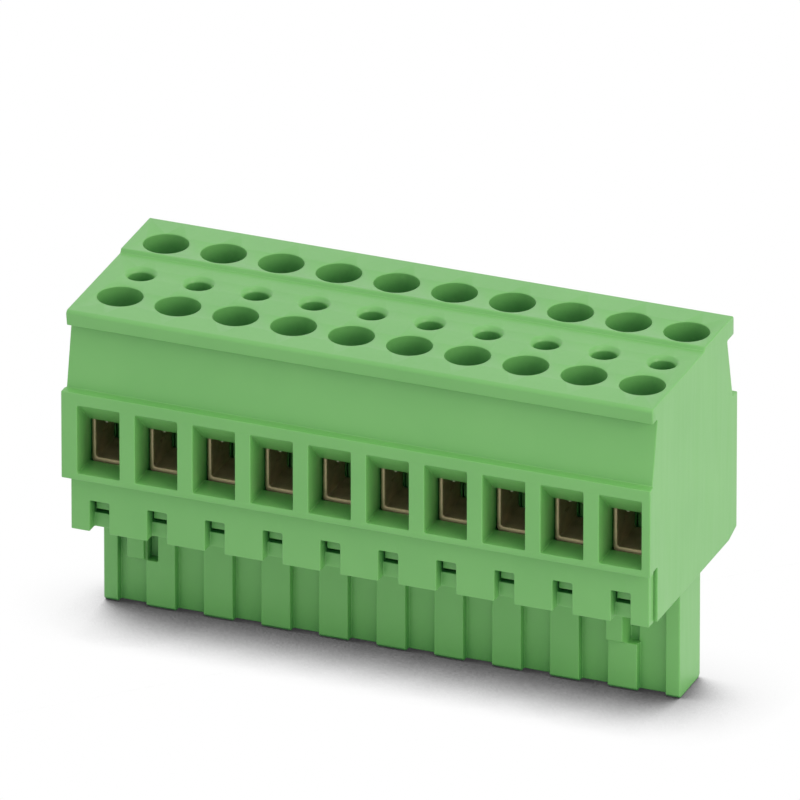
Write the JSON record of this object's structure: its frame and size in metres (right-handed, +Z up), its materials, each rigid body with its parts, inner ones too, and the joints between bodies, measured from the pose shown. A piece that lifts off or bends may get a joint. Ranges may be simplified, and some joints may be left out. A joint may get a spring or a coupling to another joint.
{
  "type": "pluggable terminal block",
  "caption": "Pluggable screw terminal block with wire entries front and back of each pole, screws and test sockets on top, and a ribbed plug below.",
  "frame": {"origin": "middle of the block's length and depth, on the plane that the lower end of the plug stands on", "axes": "+X along the row of poles towards pole 10, +Y towards the back, +Z up"},
  "size_m": [0.0516, 0.0202, 0.0298],
  "materials": {
    "housing_polyamide": "moulded polyamide, fine satin",
    "screw_steel": "zinc plated, passivated",
    "cage_steel": "folded strip, nickel plated",
    "contact_alloy": "stamped copper alloy, tin plated"
  },
  "bodies": {
    "housing": {"terminal_housing": "housing_polyamide", "plug_housing": "housing_polyamide", "contact_1": "contact_alloy", "contact_2": "contact_alloy", "contact_3": "contact_alloy", "contact_4": "contact_alloy", "contact_5": "contact_alloy", "contact_6": "contact_alloy", "contact_7": "contact_alloy", "contact_8": "contact_alloy", "contact_9": "contact_alloy", "contact_10": "contact_alloy"},
    "front_screw_1": {"front_screw_1": "screw_steel"},
    "front_cage_1": {"front_cage_1": "cage_steel"},
    "front_screw_2": {"front_screw_2": "screw_steel"},
    "front_cage_2": {"front_cage_2": "cage_steel"},
    "front_screw_3": {"front_screw_3": "screw_steel"},
    "front_cage_3": {"front_cage_3": "cage_steel"},
    "front_screw_4": {"front_screw_4": "screw_steel"},
    "front_cage_4": {"front_cage_4": "cage_steel"},
    "front_screw_5": {"front_screw_5": "screw_steel"},
    "front_cage_5": {"front_cage_5": "cage_steel"},
    "front_screw_6": {"front_screw_6": "screw_steel"},
    "front_cage_6": {"front_cage_6": "cage_steel"},
    "front_screw_7": {"front_screw_7": "screw_steel"},
    "front_cage_7": {"front_cage_7": "cage_steel"},
    "front_screw_8": {"front_screw_8": "screw_steel"},
    "front_cage_8": {"front_cage_8": "cage_steel"},
    "front_screw_9": {"front_screw_9": "screw_steel"},
    "front_cage_9": {"front_cage_9": "cage_steel"},
    "front_screw_10": {"front_screw_10": "screw_steel"},
    "front_cage_10": {"front_cage_10": "cage_steel"},
    "rear_screw_1": {"rear_screw_1": "screw_steel"},
    "rear_cage_1": {"rear_cage_1": "cage_steel"},
    "rear_screw_2": {"rear_screw_2": "screw_steel"},
    "rear_cage_2": {"rear_cage_2": "cage_steel"},
    "rear_screw_3": {"rear_screw_3": "screw_steel"},
    "rear_cage_3": {"rear_cage_3": "cage_steel"},
    "rear_screw_4": {"rear_screw_4": "screw_steel"},
    "rear_cage_4": {"rear_cage_4": "cage_steel"},
    "rear_screw_5": {"rear_screw_5": "screw_steel"},
    "rear_cage_5": {"rear_cage_5": "cage_steel"},
    "rear_screw_6": {"rear_screw_6": "screw_steel"},
    "rear_cage_6": {"rear_cage_6": "cage_steel"},
    "rear_screw_7": {"rear_screw_7": "screw_steel"},
    "rear_cage_7": {"rear_cage_7": "cage_steel"},
    "rear_screw_8": {"rear_screw_8": "screw_steel"},
    "rear_cage_8": {"rear_cage_8": "cage_steel"},
    "rear_screw_9": {"rear_screw_9": "screw_steel"},
    "rear_cage_9": {"rear_cage_9": "cage_steel"},
    "rear_screw_10": {"rear_screw_10": "screw_steel"},
    "rear_cage_10": {"rear_cage_10": "cage_steel"}
  },
  "joints": [
    {"name": "front_screw_1_turn", "type": "hinge", "parent": "housing", "child": "front_screw_1", "pos_m": [-0.02253, -0.00517, 0.0271], "axis": [0, 0, -1], "range_deg": [0, 2016]},
    {"name": "front_cage_1_rise", "type": "slide", "parent": "housing", "child": "front_cage_1", "axis": [0, 0, 1], "range_m": [0, 0.0028]},
    {"name": "front_screw_2_turn", "type": "hinge", "parent": "housing", "child": "front_screw_2", "pos_m": [-0.01745, -0.00517, 0.0271], "axis": [0, 0, -1], "range_deg": [0, 2016]},
    {"name": "front_cage_2_rise", "type": "slide", "parent": "housing", "child": "front_cage_2", "axis": [0, 0, 1], "range_m": [0, 0.0028]},
    {"name": "front_screw_3_turn", "type": "hinge", "parent": "housing", "child": "front_screw_3", "pos_m": [-0.01237, -0.00517, 0.0271], "axis": [0, 0, -1], "range_deg": [0, 2016]},
    {"name": "front_cage_3_rise", "type": "slide", "parent": "housing", "child": "front_cage_3", "axis": [0, 0, 1], "range_m": [0, 0.0028]},
    {"name": "front_screw_4_turn", "type": "hinge", "parent": "housing", "child": "front_screw_4", "pos_m": [-0.00729, -0.00517, 0.0271], "axis": [0, 0, -1], "range_deg": [0, 2016]},
    {"name": "front_cage_4_rise", "type": "slide", "parent": "housing", "child": "front_cage_4", "axis": [0, 0, 1], "range_m": [0, 0.0028]},
    {"name": "front_screw_5_turn", "type": "hinge", "parent": "housing", "child": "front_screw_5", "pos_m": [-0.00221, -0.00517, 0.0271], "axis": [0, 0, -1], "range_deg": [0, 2016]},
    {"name": "front_cage_5_rise", "type": "slide", "parent": "housing", "child": "front_cage_5", "axis": [0, 0, 1], "range_m": [0, 0.0028]},
    {"name": "front_screw_6_turn", "type": "hinge", "parent": "housing", "child": "front_screw_6", "pos_m": [0.00287, -0.00517, 0.0271], "axis": [0, 0, -1], "range_deg": [0, 2016]},
    {"name": "front_cage_6_rise", "type": "slide", "parent": "housing", "child": "front_cage_6", "axis": [0, 0, 1], "range_m": [0, 0.0028]},
    {"name": "front_screw_7_turn", "type": "hinge", "parent": "housing", "child": "front_screw_7", "pos_m": [0.00795, -0.00517, 0.0271], "axis": [0, 0, -1], "range_deg": [0, 2016]},
    {"name": "front_cage_7_rise", "type": "slide", "parent": "housing", "child": "front_cage_7", "axis": [0, 0, 1], "range_m": [0, 0.0028]},
    {"name": "front_screw_8_turn", "type": "hinge", "parent": "housing", "child": "front_screw_8", "pos_m": [0.01303, -0.00517, 0.0271], "axis": [0, 0, -1], "range_deg": [0, 2016]},
    {"name": "front_cage_8_rise", "type": "slide", "parent": "housing", "child": "front_cage_8", "axis": [0, 0, 1], "range_m": [0, 0.0028]},
    {"name": "front_screw_9_turn", "type": "hinge", "parent": "housing", "child": "front_screw_9", "pos_m": [0.01811, -0.00517, 0.0271], "axis": [0, 0, -1], "range_deg": [0, 2016]},
    {"name": "front_cage_9_rise", "type": "slide", "parent": "housing", "child": "front_cage_9", "axis": [0, 0, 1], "range_m": [0, 0.0028]},
    {"name": "front_screw_10_turn", "type": "hinge", "parent": "housing", "child": "front_screw_10", "pos_m": [0.02319, -0.00517, 0.0271], "axis": [0, 0, -1], "range_deg": [0, 2016]},
    {"name": "front_cage_10_rise", "type": "slide", "parent": "housing", "child": "front_cage_10", "axis": [0, 0, 1], "range_m": [0, 0.0028]},
    {"name": "rear_screw_1_turn", "type": "hinge", "parent": "housing", "child": "rear_screw_1", "pos_m": [-0.02253, 0.00487, 0.0271], "axis": [0, 0, -1], "range_deg": [0, 2016]},
    {"name": "rear_cage_1_rise", "type": "slide", "parent": "housing", "child": "rear_cage_1", "axis": [0, 0, 1], "range_m": [0, 0.0028]},
    {"name": "rear_screw_2_turn", "type": "hinge", "parent": "housing", "child": "rear_screw_2", "pos_m": [-0.01745, 0.00487, 0.0271], "axis": [0, 0, -1], "range_deg": [0, 2016]},
    {"name": "rear_cage_2_rise", "type": "slide", "parent": "housing", "child": "rear_cage_2", "axis": [0, 0, 1], "range_m": [0, 0.0028]},
    {"name": "rear_screw_3_turn", "type": "hinge", "parent": "housing", "child": "rear_screw_3", "pos_m": [-0.01237, 0.00487, 0.0271], "axis": [0, 0, -1], "range_deg": [0, 2016]},
    {"name": "rear_cage_3_rise", "type": "slide", "parent": "housing", "child": "rear_cage_3", "axis": [0, 0, 1], "range_m": [0, 0.0028]},
    {"name": "rear_screw_4_turn", "type": "hinge", "parent": "housing", "child": "rear_screw_4", "pos_m": [-0.00729, 0.00487, 0.0271], "axis": [0, 0, -1], "range_deg": [0, 2016]},
    {"name": "rear_cage_4_rise", "type": "slide", "parent": "housing", "child": "rear_cage_4", "axis": [0, 0, 1], "range_m": [0, 0.0028]},
    {"name": "rear_screw_5_turn", "type": "hinge", "parent": "housing", "child": "rear_screw_5", "pos_m": [-0.00221, 0.00487, 0.0271], "axis": [0, 0, -1], "range_deg": [0, 2016]},
    {"name": "rear_cage_5_rise", "type": "slide", "parent": "housing", "child": "rear_cage_5", "axis": [0, 0, 1], "range_m": [0, 0.0028]},
    {"name": "rear_screw_6_turn", "type": "hinge", "parent": "housing", "child": "rear_screw_6", "pos_m": [0.00287, 0.00487, 0.0271], "axis": [0, 0, -1], "range_deg": [0, 2016]},
    {"name": "rear_cage_6_rise", "type": "slide", "parent": "housing", "child": "rear_cage_6", "axis": [0, 0, 1], "range_m": [0, 0.0028]},
    {"name": "rear_screw_7_turn", "type": "hinge", "parent": "housing", "child": "rear_screw_7", "pos_m": [0.00795, 0.00487, 0.0271], "axis": [0, 0, -1], "range_deg": [0, 2016]},
    {"name": "rear_cage_7_rise", "type": "slide", "parent": "housing", "child": "rear_cage_7", "axis": [0, 0, 1], "range_m": [0, 0.0028]},
    {"name": "rear_screw_8_turn", "type": "hinge", "parent": "housing", "child": "rear_screw_8", "pos_m": [0.01303, 0.00487, 0.0271], "axis": [0, 0, -1], "range_deg": [0, 2016]},
    {"name": "rear_cage_8_rise", "type": "slide", "parent": "housing", "child": "rear_cage_8", "axis": [0, 0, 1], "range_m": [0, 0.0028]},
    {"name": "rear_screw_9_turn", "type": "hinge", "parent": "housing", "child": "rear_screw_9", "pos_m": [0.01811, 0.00487, 0.0271], "axis": [0, 0, -1], "range_deg": [0, 2016]},
    {"name": "rear_cage_9_rise", "type": "slide", "parent": "housing", "child": "rear_cage_9", "axis": [0, 0, 1], "range_m": [0, 0.0028]},
    {"name": "rear_screw_10_turn", "type": "hinge", "parent": "housing", "child": "rear_screw_10", "pos_m": [0.02319, 0.00487, 0.0271], "axis": [0, 0, -1], "range_deg": [0, 2016]},
    {"name": "rear_cage_10_rise", "type": "slide", "parent": "housing", "child": "rear_cage_10", "axis": [0, 0, 1], "range_m": [0, 0.0028]}
  ],
  "couplings": [
    {"joint": "front_screw_1_turn", "follows": "front_cage_1_rise", "rad_per_m": 12566},
    {"joint": "front_screw_2_turn", "follows": "front_cage_2_rise", "rad_per_m": 12566},
    {"joint": "front_screw_3_turn", "follows": "front_cage_3_rise", "rad_per_m": 12566},
    {"joint": "front_screw_4_turn", "follows": "front_cage_4_rise", "rad_per_m": 12566},
    {"joint": "front_screw_5_turn", "follows": "front_cage_5_rise", "rad_per_m": 12566},
    {"joint": "front_screw_6_turn", "follows": "front_cage_6_rise", "rad_per_m": 12566},
    {"joint": "front_screw_7_turn", "follows": "front_cage_7_rise", "rad_per_m": 12566},
    {"joint": "front_screw_8_turn", "follows": "front_cage_8_rise", "rad_per_m": 12566},
    {"joint": "front_screw_9_turn", "follows": "front_cage_9_rise", "rad_per_m": 12566},
    {"joint": "front_screw_10_turn", "follows": "front_cage_10_rise", "rad_per_m": 12566},
    {"joint": "rear_screw_1_turn", "follows": "rear_cage_1_rise", "rad_per_m": 12566},
    {"joint": "rear_screw_2_turn", "follows": "rear_cage_2_rise", "rad_per_m": 12566},
    {"joint": "rear_screw_3_turn", "follows": "rear_cage_3_rise", "rad_per_m": 12566},
    {"joint": "rear_screw_4_turn", "follows": "rear_cage_4_rise", "rad_per_m": 12566},
    {"joint": "rear_screw_5_turn", "follows": "rear_cage_5_rise", "rad_per_m": 12566},
    {"joint": "rear_screw_6_turn", "follows": "rear_cage_6_rise", "rad_per_m": 12566},
    {"joint": "rear_screw_7_turn", "follows": "rear_cage_7_rise", "rad_per_m": 12566},
    {"joint": "rear_screw_8_turn", "follows": "rear_cage_8_rise", "rad_per_m": 12566},
    {"joint": "rear_screw_9_turn", "follows": "rear_cage_9_rise", "rad_per_m": 12566},
    {"joint": "rear_screw_10_turn", "follows": "rear_cage_10_rise", "rad_per_m": 12566}
  ]
}
